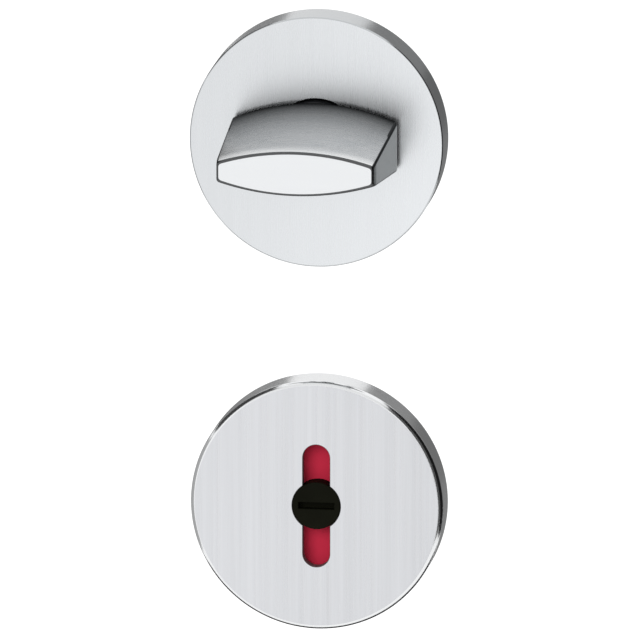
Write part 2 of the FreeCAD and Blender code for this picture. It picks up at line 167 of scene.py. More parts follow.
class LockColours(bpy.types.PropertyGroup):
    """Colours of the finishes, in linear values."""

    face_steel: colour("Face steel", "Satin stainless steel of the inside rose", (0.80, 0.82, 0.84))
    brushed_face: colour("Brushed face", "Brushed stainless steel of the outside rose", (0.735, 0.745, 0.77))
    # painted light and shade: both rims are the same turned steel, painted darker on the inside rose and lighter on the
    # outside rose
    upper_rim: colour("Upper rim", "Turned rim of the inside rose", (0.60, 0.62, 0.635))
    lower_rim: colour("Lower rim", "Turned rim of the outside rose", (0.90, 0.91, 0.92))
    grip_face: colour("Grip face", "Fine ground front of the grip", (0.87, 0.885, 0.90))
    # painted shade: the flanks take this tone at their front and are painted darker towards the back
    grip_steel: colour("Grip steel", "Brushed flanks of the grip", (0.95, 0.98, 1.0))
    # painted shade: the ground ends are painted dark for the side turned away from the light
    grip_end: colour("Grip end", "Ground ends of the grip", (0.18, 0.20, 0.204))
    # painted shade: the turned steel of neck and grip back is painted near black for the shadow in the gap against the
    # rose
    neck_painted_shade: colour("Neck steel", "Turned neck and the grip's back, dull from the lathe", (0.06, 0.062, 0.065))
    # painted shade: near black, standing in for the shade inside the window's recess
    cut_steel: colour("Cut steel", "Dull cut edge of the window", (0.07, 0.068, 0.07))
    # painted reflection: the dark of these edges is painted into their colour rather than mirrored
    edge_steel: colour("Edge steel", "Fine polished edges, which mirror the dark round them", (0.12, 0.123, 0.126))
    zinc: colour("Zinc", "Bright zinc plate of spindle, screws and sleeves", (0.66, 0.68, 0.70))
    spring: colour("Spring", "Oiled spring steel of rings and washers", (0.30, 0.30, 0.31))
    dark_plastic: colour("Dark plastic", "Moulded base plates", (0.045, 0.046, 0.050))
    natural_plastic: colour("Natural plastic", "Moulded bushes", (0.72, 0.70, 0.64))
    white_plastic: colour("White plastic", "Indicator disc", (0.82, 0.82, 0.80))
    red_plastic: colour("Red plastic", "Indicator fields", (0.45, 0.021, 0.048))
    black_plastic: colour("Black plastic", "Release hub", (0.0048, 0.0050, 0.0028))


class LockStudio(bpy.types.PropertyGroup):
    """Camera and light of the studio."""

    azimuth: angular("Azimuth", "Camera's turn to the right", 8.3)
    elevation: angular("Elevation", "Camera's height angle", 13.1)
    distance: length("Distance", "Camera's distance from its target", 5.0)
    width: length("Width", "Width of the view at the target", 130.2 * MM)
    floor: FloatProperty(name="Floor", description="Level of the floor", default=-0.600, unit="LENGTH")
    ambient: FloatProperty(
        name="Ambient", description="Brightness of the surroundings on matt surfaces", default=0.95, min=0
    )


def even_angles(count, exact=()):
    """Angles all round, evenly spaced but for the exact ones, which are all kept."""
    kept = sorted({round(angle % FULL_TURN, 7) for angle in exact})
    near = 0.3 * FULL_TURN / count
    even = [FULL_TURN * index / count for index in range(count)]
    clear = [
        angle for angle in even
        if all(abs((angle - other + pi) % FULL_TURN - pi) > near for other in kept)
    ]
    return sorted(kept + clear)


def in_four(angle):
    """The angle mirrored into all four quarters."""
    return [angle, pi - angle, pi + angle, FULL_TURN - angle]


def rectangle(half_length, half_height):
    """Outline of a rectangle, as the radius at an angle."""
    def radius(angle):
        along, up = abs(cos(angle)), abs(sin(angle))
        return min(half_length / max(along, 1e-9), half_height / max(up, 1e-9))
    return radius


def rectangle_corners(half_length, half_height):
    """Angles of a rectangle's corners."""
    return in_four(atan2(half_height, half_length))


def hexagon(half_flats):
    """Outline of a hexagon with a corner on the X axis."""
    sixth = pi / 3
    return lambda angle: half_flats / cos(angle % sixth - sixth / 2)


def slot(half_width, half_length):
    """Outline of an upright slot with round ends."""
    straight = half_length - half_width

    def radius(angle):
        along, up = abs(cos(angle)), abs(sin(angle))
        side = half_width / max(along, 1e-9)
        if side * up <= straight:
            return side
        return straight * up + sqrt(max(half_width**2 - (straight * along) ** 2, 0))
    return radius


def slot_end_angles(half_width, half_length, count):
    """Angles of evenly spaced points round the slot's ends."""
    straight = half_length - half_width
    found = []
    for index in range(count + 1):
        turn = pi * index / count
        angle = atan2(straight + half_width * sin(turn), half_width * cos(turn))
        found += [angle, angle + pi]
    return found


def widest(*outlines):
    """Outline round several outlines that share a centre."""
    return lambda angle: max(outline(angle) for outline in outlines)


def ring_verts(bm, outline, level, angles, centre):
    """Points of one ring round an axis along Y; a ring of radius 0 is a single point."""
    across, low = centre
    if outline == 0:
        return [bm.verts.new((across, level, low))]
    verts = []
    for angle in angles:
        radius = outline(angle) if callable(outline) else outline
        height = level(angle) if callable(level) else level
        verts.append(bm.verts.new((across + radius * cos(angle), height, low + radius * sin(angle))))
    return verts


def bridge(bm, first, second, band):
    """Faces between two closed rings of points, or a fan to a single point; band is their finish."""
    count = max(len(first), len(second))
    for index in range(count):
        after = (index + 1) % count
        if len(first) == 1:
            corners = [first[0], second[after], second[index]]
        elif len(second) == 1:
            corners = [first[index], first[after], second[0]]
        else:
            corners = [first[index], first[after], second[after], second[index]]
        bm.faces.new(corners).material_index = band


def turned(bm, rings, angles, centre=(0.0, 0.0), looped=False, band=0):
    """Surface through rings of (outline or radius, level); a third entry is the finish of the band behind a ring."""
    made = [ring_verts(bm, ring[0], ring[1], angles, centre) for ring in rings]
    bands = [ring[2] if len(ring) > 2 else band for ring in rings]
    if looped:
        made.append(made[0])
    for first, second, finish_index in zip(made, made[1:], bands):
        bridge(bm, first, second, finish_index)


def rounded(radius, level, size, band=0):
    """Rings of a quarter round from a front face at a level to a side wall at a radius."""
    steps = 4
    turns = [QUARTER * index / steps for index in range(steps + 1)]
    return [(radius - size * (1 - sin(turn)), level + size * (1 - cos(turn)), band) for turn in turns]


def soft_rim(opening, level, size, band):
    """Rings of a hole's softened rim, from inside the hole to the face; opening gives its outline when grown."""
    return [
        (opening(0.0), level + size, band),
        (opening(0.3 * size), level + 0.3 * size, band),
        (opening(size), level, 0),
    ]


def ring_groove(journal, node):
    """Rings of the groove round a journal in which the retaining ring of a CAD node sits."""
    low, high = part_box(node)
    front, back = low[1] - RING_PLAY, high[1] + RING_PLAY
    floor = journal - RING_GROOVE
    return [(journal, front), (floor, front), (floor, back), (journal, back)]


def mark_sharp(bm, degrees=SHARP):
    """Smooth faces, with the edges sharper than the limit kept crisp."""
    limit = radians(degrees)
    for face in bm.faces:
        face.smooth = True
    for edge in bm.edges:
        edge.smooth = len(edge.link_faces) == 2 and edge.calc_face_angle(0) < limit


def modified(obj, name, kind, **settings):
    """Gives the object a modifier with these settings."""
    modifier = obj.modifiers.new(name, kind)
    for key, value in settings.items():
        setattr(modifier, key, value)
    return modifier


def shaded(obj):
    """Normals that follow the large faces, so flats stay flat beside their fine roundings."""
    modified(obj, "even shading", "WEIGHTED_NORMAL", keep_sharp=True, weight=80)


def placed(name, data):
    """New object of the scene."""
    obj = bpy.data.objects.new(name, data)
    bpy.context.scene.collection.objects.link(obj)
    return obj


def raw_piece(name, bm, finishes, degrees=SHARP):
    """New object from a mesh whose faces point outwards, with its named finishes."""
    bmesh.ops.recalc_face_normals(bm, faces=bm.faces)
    mark_sharp(bm, degrees)
    mesh = bpy.data.meshes.new(name)
    bm.to_mesh(mesh)
    bm.free()
    for finish_name in finishes:
        mesh.materials.append(finish(finish_name))
    return placed(name, mesh)


def piece(name, bm, finishes, degrees=SHARP):
    """New object from a mesh, evenly shaded."""
    obj = raw_piece(name, bm, finishes, degrees)
    shaded(obj)
    return obj


def belongs(obj, body, slot_name, *nodes):
    """The piece rides on a body and takes the place of CAD nodes, which are hidden; the slot name is not used."""
    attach(obj, body)
    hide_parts(*nodes)


def dressed(node, name, body, slot_name, finish_name, bevel=0.12 * MM):
    """Copy of a CAD node with its facets merged and its edges softened as tooling leaves them."""
    bm = bmesh.new()
    bm.from_mesh(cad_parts[node].data)
    bmesh.ops.remove_doubles(bm, verts=bm.verts, dist=0.001 * MM)
    flat = radians(1.0)
    bmesh.ops.dissolve_limit(bm, angle_limit=flat, verts=bm.verts, edges=bm.edges, use_dissolve_boundaries=False)
    obj = raw_piece(name, bm, [finish_name], TOOLED)
    if bevel:
        modified(obj, "tooling radius", "BEVEL", width=bevel, segments=2, limit_method="ANGLE",
                 angle_limit=radians(TOOLED), use_clamp_overlap=True, miter_outer="MITER_ARC")
    shaded(obj)
    belongs(obj, body, slot_name, node)


def grown(name, mesh, tree, keys, values):
    """New object that a node group makes from a mesh and its named values, as a plain mesh."""
    obj = placed(name, mesh)
    modifier = modified(obj, tree.name, "NODES", node_group=tree)
    for label, value in values.items():
        modifier[keys[label]] = value
    depsgraph = bpy.context.evaluated_depsgraph_get()
    plain = bpy.data.meshes.new_from_object(
        obj.evaluated_get(depsgraph), preserve_all_data_layers=True, depsgraph=depsgraph
    )
    obj.modifiers.clear()
    obj.data = plain
    bm = bmesh.new()
    bm.from_mesh(plain)
    bmesh.ops.remove_doubles(bm, verts=bm.verts, dist=0.0005 * MM)
    bmesh.ops.recalc_face_normals(bm, faces=bm.faces)
    mark_sharp(bm)
    bm.to_mesh(plain)
    bm.free()
    shaded(obj)
    return obj


def add(tree, kind, inputs=None, **settings):
    """Adds a node; each input is a value, or an output socket to link."""
    node = tree.nodes.new(kind)
    for key, value in settings.items():
        setattr(node, key, value)
    for key, value in (inputs or {}).items():
        if isinstance(value, bpy.types.NodeSocket):
            tree.links.new(value, node.inputs[key])
        else:
            node.inputs[key].default_value = value
    return node


def maths(tree, operation, first, second=0.0):
    """One sum of a node tree."""
    return add(tree, "ShaderNodeMath", {0: first, 1: second}, operation=operation).outputs[0]


def vector_maths(tree, operation, first, second):
    """Outputs of one sum with vectors."""
    return add(tree, "ShaderNodeVectorMath", {0: first, 1: second}, operation=operation).outputs


def vector_of(tree, **parts):
    """Vector from its parts X, Y and Z."""
    return add(tree, "ShaderNodeCombineXYZ", parts).outputs[0]


def ranged(tree, value, start, stop, low, high):
    """Value moved from the range of start to stop into the range of low to high."""
    inputs = {"Value": value, "From Min": start, "From Max": stop, "To Min": low, "To Max": high}
    return add(tree, "ShaderNodeMapRange", inputs).outputs[0]


def spread(tree, value, low=0, high=1):
    """Noise stretched to a range of its own."""
    return ranged(tree, value, 0.3, 0.7, low, high)


def scaled_place(tree, scale, centre=(0.0, 0.0, 0.0)):
    """Object coordinates from a centre, scaled along each axis per metre."""
    place = add(tree, "ShaderNodeTexCoord").outputs["Object"]
    return vector_maths(tree, "MULTIPLY", vector_maths(tree, "SUBTRACT", place, centre)[0], scale)[0]


def round_place(tree, centre):
    """Radius and level in millimetres round an axis along Y, for marks that run round it."""
    parts = add(tree, "ShaderNodeSeparateXYZ", {0: scaled_place(tree, (1000.0,) * 3, centre)}).outputs
    flat = vector_of(tree, X=parts["X"], Z=parts["Z"])
    radius = add(tree, "ShaderNodeVectorMath", {0: flat}, operation="LENGTH").outputs["Value"]
    return vector_of(tree, X=radius, Y=parts["Y"])


def noise(tree, place, detail=2.0, roughness=0.55, scale=1.0):
    """Even noise, its value round one half."""
    inputs = {"Vector": place, "Scale": scale, "Detail": detail, "Roughness": roughness}
    return add(tree, "ShaderNodeTexNoise", inputs).outputs[0]


def averaged(tree, first, second, share):
    """Two values mixed by a share."""
    return add(tree, "ShaderNodeMix", {0: share, 2: first, 3: second}, data_type="FLOAT").outputs[0]


def tones(colour_value, amount):
    """A darker and a lighter tone of a colour."""
    dark = tuple(channel * (1 - amount) for channel in colour_value)
    light = tuple(min(channel * (1 + amount), 1.0) for channel in colour_value)
    return dark, light


def blended(tree, value, dark, light):
    """Colour between two tones by a noise."""
    inputs = {0: spread(tree, value), 6: (*dark, 1.0), 7: (*light, 1.0)}
    return add(tree, "ShaderNodeMix", inputs, data_type="RGBA").outputs[2]


def painted_shading(tree, base, centre, lean, curve):
    """Painted shade: colour whose tone changes per metre along each axis by the given slope, or darkens in a curve from
    the centre on, as light and shade falling on the surface would.
    """
    change = vector_maths(tree, "DOT_PRODUCT", scaled_place(tree, (1.0,) * 3, centre), lean)["Value"]
    if curve:
        change = maths(tree, "MULTIPLY", maths(tree, "POWER", maths(tree, "ABSOLUTE", change), curve), -1.0)
    keep = maths(tree, "ADD", change, 1.0)
    return add(tree, "ShaderNodeVectorMath", {0: base, "Scale": keep}, operation="SCALE").outputs[0]


def plain_finish(name, metallic, roughness, **sockets):
    """Material whose even values stand on the shader's own sockets."""
    material = bpy.data.materials.new(name)
    material.use_nodes = True
    shader = material.node_tree.nodes["Principled BSDF"]
    shader.inputs["Metallic"].default_value = metallic
    shader.inputs["Roughness"].default_value = roughness
    for key, value in sockets.items():
        shader.inputs[key.replace("_", " ")].default_value = value
    return material, material.node_tree, shader


def surfaced(tree, shader, base, roughness, height, relief, depth=SCRATCH):
    """Links the colour, the gloss and a relief of a given depth to the shader."""
    normal = add(tree, "ShaderNodeBump", {"Strength": relief, "Distance": depth, "Height": height}).outputs[0]
    for key, value in (("Base Color", base), ("Roughness", roughness), ("Normal", normal)):
        tree.links.new(value, shader.inputs[key])


def brushed_steel(name, colour_value, grain, roughness, amount, relief, swing, along=(0, 0, 1), rim=1.0,
                  centre=(0.0, 0.0, 0.0), lean=(0.0, 0.0, 0.0), curve=None, metallic=1.0):
    """Stainless steel with straight fine scratches; grain is the scratches' frequency along each axis, and a slope,
    when given, paints light and shade into its colour by position.
    """
    tint = (rim, rim, rim, 1.0)
    material, tree, shader = plain_finish(name, metallic, roughness, Anisotropic=0.3, Specular_Tint=tint)
    fine = noise(tree, scaled_place(tree, grain), 4.0, 0.65)
    broad = noise(tree, scaled_place(tree, tuple(0.22 * value for value in grain)))
    base = blended(tree, averaged(tree, fine, broad, 0.4), *tones(colour_value, amount))
    # painted shade: the base colour is made lighter or darker by position
    if any(lean):
        base = painted_shading(tree, base, centre, lean, curve)
    surfaced(tree, shader, base, spread(tree, fine, roughness - swing, roughness + swing), fine, relief)
    world = add(
        tree, "ShaderNodeVectorTransform", {0: vector_of(tree, X=along[0], Y=along[1], Z=along[2])},
        vector_type="VECTOR", convert_from="OBJECT", convert_to="WORLD",
    ).outputs[0]
    tree.links.new(world, shader.inputs["Tangent"])
    return material


def turned_steel(name, colour_value, centre, roughness, amount=0.05, relief=0.3, rim=1.0):
    """Stainless steel with fine marks that run round the axis, as a lathe leaves them."""
    material, tree, shader = plain_finish(name, 1.0, roughness, Specular_Tint=(rim, rim, rim, 1.0))
    marks = noise(tree, round_place(tree, centre), 3.0, 0.6, 9.0)
    gloss = spread(tree, marks, roughness - 0.05, roughness + 0.07)
    surfaced(tree, shader, blended(tree, marks, *tones(colour_value, amount)), gloss, marks, relief)
    return material


def cloudy_metal(name, colour_value, warm, roughness, amount, metallic):
    """Plated or oiled steel: soft clouds of tone, with a fine grain in the gloss."""
    material, tree, shader = plain_finish(name, metallic, roughness)
    clouds = noise(tree, scaled_place(tree, (180.0,) * 3), 3.0)
    grain = noise(tree, scaled_place(tree, (5200.0,) * 3))
    dark, light = tones(colour_value, amount)
    tinted = tuple(channel * tint for channel, tint in zip(light, warm))
    gloss = spread(tree, averaged(tree, grain, clouds, 0.5), roughness - 0.08, roughness + 0.1)
    surfaced(tree, shader, blended(tree, clouds, dark, tinted), gloss, grain, 0.15)
    return material


def moulded_plastic(name, colour_value, roughness, amount, gloss=0.45):
    """Plastic with the fine eroded texture of its mould."""
    material, tree, shader = plain_finish(name, 0.0, roughness, Specular_IOR_Level=gloss)
    eroded = noise(tree, scaled_place(tree, (4200.0,) * 3))
    flow = noise(tree, scaled_place(tree, (160.0, 90.0, 160.0)))
    shine = spread(tree, eroded, roughness - 0.06, roughness + 0.08)
    surfaced(tree, shader, blended(tree, flow, *tones(colour_value, amount)), shine, eroded, 0.35, MOULD)
    return material


UPPER = (0.0, 0.0, 0.0)  # on the axis of the inside rose
LOWER = (0.0, 0.0, LOWER_AXIS)  # on the axis of the outside rose
ALONG_GRIP = {"grain": (46.0, 3400.0, 3400.0), "along": (1, 0, 0)}
FINISHES = {  # each by its maker, its colour and the maker's other values
    # painted shade: the inside rose's satin face is painted lighter to the right and darker towards the top
    "satin_rose_face": (brushed_steel, "face_steel", dict(
        grain=(1300.0, 500.0, 40.0), roughness=0.27, amount=0.02, relief=0.012, swing=0.02, lean=(2.2, 0.0, -0.8))),
    # painted shade: the outside rose's brushed face is painted darker to the right
    "brushed_rose_face": (brushed_steel, "brushed_face", dict(
        grain=(1100.0, 400.0, 14.0), roughness=0.29, amount=0.08, relief=0.1, swing=0.04,
        centre=LOWER, lean=(-1.2, 0.0, 0.0))),
    "grip_face": (brushed_steel, "grip_face", dict(
        ALONG_GRIP, roughness=0.2, amount=0.012, relief=0.1, swing=0.02)),
    # painted shade: the grip's flanks are painted darker in a curve towards the back, where the rose's shade and dark
    # reflection fall
    "flank_steel": (brushed_steel, "grip_steel", dict(
        ALONG_GRIP, roughness=0.27, amount=0.12, relief=0.2, swing=0.04, rim=0.25,
        centre=(0.0, TURN_LOW[1], 0.0), lean=(0.0, -35.0, 0.0), curve=2.4)),
    # painted shade: ground ends of the grip, painted dark
    "grip_end": (brushed_steel, "grip_end", dict(
        grain=(3400.0, 3400.0, 46.0), roughness=0.22, amount=0.05, relief=0.15, swing=0.03, rim=0.6, metallic=0.7)),
    # painted light and shade: the same turned steel in a darker and a lighter copy
    "upper_rim_steel": (turned_steel, "upper_rim", dict(centre=UPPER, roughness=0.14)),
    "lower_rim_steel": (turned_steel, "lower_rim", dict(centre=LOWER, roughness=0.14)),
    # painted reflection: fine edges of the grip, painted dark
    "edge_steel": (turned_steel, "edge_steel", dict(centre=UPPER, roughness=0.25, amount=0.04, relief=0.1, rim=0.3)),
    # painted shade: neck, journal and the grip's back, painted near black
    "journal_steel": (turned_steel, "neck_painted_shade", dict(centre=UPPER, roughness=0.35, rim=0.3)),
    # painted shade: the window's wall and fine rim, painted near black for the shade in the recess
    "cut_edge_steel": (cloudy_metal, "cut_steel", dict(
        warm=(1.0, 1.0, 1.0), roughness=0.45, amount=0.1, metallic=0.25)),
    "zinc_plate": (cloudy_metal, "zinc", dict(warm=(1.0, 0.985, 0.95), roughness=0.34, amount=0.1, metallic=0.7)),
    "oiled_steel": (cloudy_metal, "spring", dict(warm=(1.06, 1.0, 0.92), roughness=0.36, amount=0.18, metallic=0.8)),
    "plate_plastic": (moulded_plastic, "dark_plastic", dict(roughness=0.5, amount=0.12)),
    "natural_plastic": (moulded_plastic, "natural_plastic", dict(roughness=0.42, amount=0.05)),
    "disc_plastic": (moulded_plastic, "white_plastic", dict(roughness=0.45, amount=0.02)),
    "red_field_plastic": (moulded_plastic, "red_plastic", dict(roughness=0.6, amount=0.05, gloss=0.03)),
    "hub_plastic": (moulded_plastic, "black_plastic", dict(roughness=0.6, amount=0.15, gloss=0.03)),
}


def finish(name):
    """The named finish, made when it is first asked for; no finish has the name of a CAD material."""
    make, colour_name, values = FINISHES[name]
    found = bpy.data.materials.get(name)
    return found or make(name, tuple(getattr(bpy.context.scene.lock_colours, colour_name)), **values)


def notch_reach(sizes):
    """Half the angle that the pry notch takes."""
    return asin(sizes.notch_width / 2 / sizes.radius)


def notch_angles(sizes):
    """Angles at both sides of each edge of the pry notch."""
    step = 0.0004
    return [3 * QUARTER + side * notch_reach(sizes) + offset for side in (-1, 1) for offset in (-step, step)]


def cover_rings(sizes, front, front_rings, hole, band):
    """Rings of a cover's cup from its front edge round its back and inside, to the hole's back edge."""
    bore = sizes.radius - sizes.wall
    groove = bore + sizes.groove_depth
    reach = notch_reach(sizes)

    def at_back(level):
        def cut(angle):
            in_notch = abs((angle + QUARTER + pi) % FULL_TURN - pi) < reach
            return min(level, -sizes.notch_height) if in_notch else level
        return cut

    return front_rings + [
        (sizes.radius, at_back(-sizes.back_bevel), 1),
        (sizes.radius - sizes.back_bevel, at_back(0.0), 1),
        (bore, at_back(0.0), 1),
        (bore, -sizes.groove_back, 1),
        (groove, -sizes.groove_back, 1),
        (groove, -sizes.groove_front, 1),
        (bore, -sizes.groove_front, 1),
        (bore, front + sizes.face, 1),
        (hole, front + sizes.face, band),
    ]


class LOCK_OT_turn_rose_cover(bpy.types.Operator):
    """Inside rose cover: satin face, crisp front edge and the hole for the neck"""

    bl_idname = "lock.turn_rose_cover"
    bl_label = "Inside rose cover"

    def execute(self, context):
        sizes = context.scene.lock_roses
        front = COVER_LOW[1]
        front_rings = soft_rim(lambda by: sizes.neck_hole + by, front, 0.12 * MM, 1)
        front_rings += rounded(sizes.radius, front, sizes.turn_edge, 1)
        rings = cover_rings(sizes, front, front_rings, sizes.neck_hole, 1)
        bm = bmesh.new()
        turned(bm, rings, even_angles(sizes.steps, notch_angles(sizes)), looped=True)
        obj = piece("inside_rose_cover", bm, ["satin_rose_face", "upper_rim_steel"])
        belongs(obj, "roses", "satin_steel", "turn_rose_cover")
        return {"FINISHED"}


class LOCK_OT_indicator_rose_cover(bpy.types.Operator):
    """Outside rose cover: brushed face with a soft edge, the window slot and the hole for the hub"""

    bl_idname = "lock.indicator_rose_cover"
    bl_label = "Outside rose cover"

    def execute(self, context):
        sizes = context.scene.lock_roses
        window = context.scene.lock_window
        front = LOWER_LOW[1]
        flat = sizes.radius - sizes.indicator_edge
        crown_rings, edge_steps, face_steps = 7, 10, 2

        def opening(by):
            return widest(slot(window.half_width + by, window.half_length + by), lambda angle: window.hub_hole + by)

        # band 2 is the window's wall and rim, painted near black as the shade in the recess
        front_rings = soft_rim(opening, front, window.edge, 2)
        for index in range(crown_rings):
            share = index / crown_rings
            front_rings.append((flat - sizes.crown_width * (1 - share), front + sizes.crown * share**2, 0))
        for index in range(edge_steps + 1):
            turn = QUARTER * index / edge_steps
            out = flat + sizes.indicator_edge * sin(turn)
            drop = sizes.crown + (sizes.indicator_edge - sizes.crown) * (1 - cos(turn))
            front_rings.append((out, front + drop, 0 if index < face_steps else 1))
        rings = cover_rings(sizes, front, front_rings, opening(0.0), 2)
        exact = in_four(acos(window.half_width / window.hub_hole)) + notch_angles(sizes)
        exact += slot_end_angles(window.half_width, window.half_length, 24)
        bm = bmesh.new()
        turned(bm, rings, even_angles(sizes.steps, exact), (0.0, LOWER_AXIS), True)
        obj = piece("outside_rose_cover", bm, ["brushed_rose_face", "lower_rim_steel", "cut_edge_steel"])
        belongs(obj, "roses", "satin_steel", "indicator_rose_cover")
        return {"FINISHED"}


class LOCK_OT_base_plates(bpy.types.Operator):
    """Moulded base plates of both roses, with softened ribs and bosses"""

    bl_idname = "lock.base_plates"
    bl_label = "Base plates"

    def execute(self, context):
        dressed("turn_base_plate", "inside_base_plate", "roses", "moulded_plastic", "plate_plastic")
        dressed("indicator_base_plate", "outside_base_plate", "roses", "moulded_plastic", "plate_plastic")
        return {"FINISHED"}


def lens_points(grip, level, inset):
    """Outline of the grip at a level: two arcs joined by short ends, its corners rounded."""
    share = (level - TURN_LOW[1]) / grip.depth

    def half_between(front, back):
        return (front + (back - front) * share) / 2 - inset

    half = half_between(grip.front_length, grip.back_length)
    middle = half_between(grip.front_middle, grip.back_middle)
    end = half_between(grip.front_end, grip.back_end)
    rise = middle - end
    bend = (half**2 + rise**2) / (2 * rise)
    sweep = asin(half / bend) - grip.corner / bend
    arc_steps, corner_steps = 30, 5
    top = []
    for index in range(2 * arc_steps + 1):
        turn = sweep * (index / arc_steps - 1)
        top.append((bend * sin(turn), middle - bend + bend * cos(turn)))
    corner = (half, end)
    after = (half, end - grip.corner)
    round_corner = []
    for index in range(1, corner_steps + 1):
        along = index / corner_steps
        keep = 1 - along
        round_corner.append(tuple(
            keep * keep * start + 2 * keep * along * peak + along * along * stop
            for start, peak, stop in zip(top[-1], corner, after)
        ))
    right = round_corner + [(x, -z) for x, z in reversed(round_corner)]
    low = [(x, -z) for x, z in reversed(top)]
    left = [(-x, z) for x, z in reversed(right)]
    return [(x, level, z) for x, z in top + right + low + left]


GRIP_FINISHES = ("flank_steel", "journal_steel", "grip_face", "edge_steel", "grip_end")
FLANK, NECK_SHADE, FRONT, DARK_EDGE, SHADED_END = range(len(GRIP_FINISHES))


def make_grip_shell(bm, grip):
    """Closed shell of the flared grip: bright front, brushed flanks painted darker towards the back as shade, ground
    ends painted dark as shade and fine edges painted dark as a reflection; the back takes the neck finish, painted near
    black as a shadow line.
    """
    front = TURN_LOW[1]
    back = front + grip.depth
    front_steps, roll_steps, flank_steps, back_steps = 4, 5, 8, 3
    levels = []
    for index in range(front_steps + 1):
        turn = QUARTER * index / front_steps
        levels.append((front + grip.edge * (1 - cos(turn)), grip.roll + grip.edge * (1 - sin(turn))))
    for index in range(1, roll_steps + 1):
        share = index / roll_steps
        levels.append((front + grip.edge + grip.roll_reach * share, grip.roll * (1 - share) ** 2))
    start = front + grip.edge + grip.roll_reach
    for index in range(1, flank_steps):
        levels.append((start + (back - grip.edge - start) * index / flank_steps, 0.0))
    for index in range(back_steps + 1):
        turn = QUARTER * index / back_steps
        levels.append((back - grip.edge * (1 - sin(turn)), grip.edge * (1 - cos(turn))))
    rings = [[bm.verts.new(point) for point in lens_points(grip, level, inset)] for level, inset in levels]
    # the back rounding and back cap take the neck finish, painted near black as a shadow line against the rose
    back_start = len(rings) - 1 - back_steps
    # the front rounding takes the edge finish, painted dark as a reflection
    for index, (first, second) in enumerate(zip(rings, rings[1:])):
        bridge(bm, first, second, DARK_EDGE if index < front_steps else NECK_SHADE if index >= back_start else FLANK)
    bm.faces.new(rings[0]).material_index = FRONT
    bm.faces.new(rings[-1]).material_index = NECK_SHADE
    bm.normal_update()
    # the corner faces between flanks and ends take the edge finish, painted dark as a reflection, and the ends their
    # own finish, painted dark as shade
    corner_facing, end_facing = 0.45, 0.95
    for face in bm.faces:
        if face.material_index == FLANK and abs(face.normal.x) > corner_facing:
            face.material_index = SHADED_END if abs(face.normal.x) > end_facing else DARK_EDGE


def make_neck_shell(bm, grip):
    """Closed shell of neck and journal, with its ring groove and the square socket from the back."""
    back = TURN_HIGH[1]
    grip_back = TURN_LOW[1] + grip.depth
    root = grip_back - 3.6 * MM
    socket_end = grip_back - 3.0 * MM
    square = rectangle(grip.socket, grip.socket)
    inner = 0.75 * grip.neck
    soft = 0.2 * MM
    rings = [
        (0, root),
        (inner, root),
        (inner, grip_back - 0.01 * MM),
        (grip.neck, grip_back),
        (grip.neck, -grip.shoulder - soft),
        (grip.neck - soft, -grip.shoulder),
        (grip.journal, -grip.shoulder),
        *ring_groove(grip.journal, "turn_retaining_ring"),
        (grip.journal, back - soft),
        (grip.journal - soft, back),
        (square, back),
        (square, socket_end),
        (0, socket_end),
    ]
    # the neck and journal take the neck finish, painted near black as shadow
    turned(bm, rings, even_angles(144, rectangle_corners(1, 1)), band=NECK_SHADE)


class LOCK_OT_thumb_turn(bpy.types.Operator):
    """Thumb turn: flared grip, neck and journal with a square socket"""

    bl_idname = "lock.thumb_turn"
    bl_label = "Thumb turn"

    def execute(self, context):
        grip = context.scene.lock_grip
        bm = bmesh.new()
        make_grip_shell(bm, grip)
        make_neck_shell(bm, grip)
        obj = piece("thumb_turn_grip", bm, GRIP_FINISHES, degrees=30.0)
        belongs(obj, "turn", "grip_steel", "thumb_turn")
        return {"FINISHED"}


class LOCK_OT_bearings(bpy.types.Operator):
    """Bushes, flat washers and the bowed spring washer"""

    bl_idname = "lock.bearings"
    bl_label = "Bushes and washers"

    def execute(self, context):
        dressed("turn_bush", "inside_bush", "roses", "bush_plastic", "natural_plastic")
        dressed("indicator_bush", "outside_bush", "roses", "bush_plastic", "natural_plastic")
        dressed("turn_thrust_washer", "inside_washer", "roses", "spring_steel", "zinc_plate", 0.06 * MM)
        dressed("indicator_thrust_washer", "outside_washer", "roses", "spring_steel", "zinc_plate", 0.06 * MM)
        dressed("turn_spring_washer", "bowed_washer", "roses", "spring_steel", "oiled_steel", 0.0)
        return {"FINISHED"}


class LOCK_OT_retaining_rings(bpy.types.Operator):
    """Retaining rings in the grooves of both journals"""

    bl_idname = "lock.retaining_rings"
    bl_label = "Retaining rings"

    def execute(self, context):
        dressed("turn_retaining_ring", "inside_retaining_ring", "turn", "spring_steel", "oiled_steel", 0.08 * MM)
        dressed("indicator_retaining_ring", "outside_retaining_ring", "release", "spring_steel", "oiled_steel",
                0.08 * MM)
        return {"FINISHED"}


def new_shape_tree(name, **inputs):
    """Geometry node group with named inputs (numbers, or another kind), their identifiers and their sockets."""
    tree = bpy.data.node_groups.new(name, "GeometryNodeTree")
    tree.is_modifier = True
    tree.interface.new_socket(name="Geometry", in_out="OUTPUT", socket_type="NodeSocketGeometry")
    keys = {}
    for label, value in {"Geometry": "Geometry", **inputs, "Material": "Material"}.items():
        kind = value if isinstance(value, str) else "Float"
        socket = tree.interface.new_socket(name=label, in_out="INPUT", socket_type="NodeSocket" + kind)
        if kind == "Float":
            socket.default_value = value
        keys[label] = socket.identifier
    return tree, keys, tree.nodes.new("NodeGroupInput").outputs


def end_shape_tree(tree, geometry, material):
    """Realized geometry with its material, at the group's end."""
    real = add(tree, "GeometryNodeRealizeInstances", {"Geometry": geometry}).outputs[0]
    painted = add(tree, "GeometryNodeSetMaterial", {"Geometry": real, "Material": material}).outputs[0]
    tree.links.new(painted, tree.nodes.new("NodeGroupOutput").inputs["Geometry"])


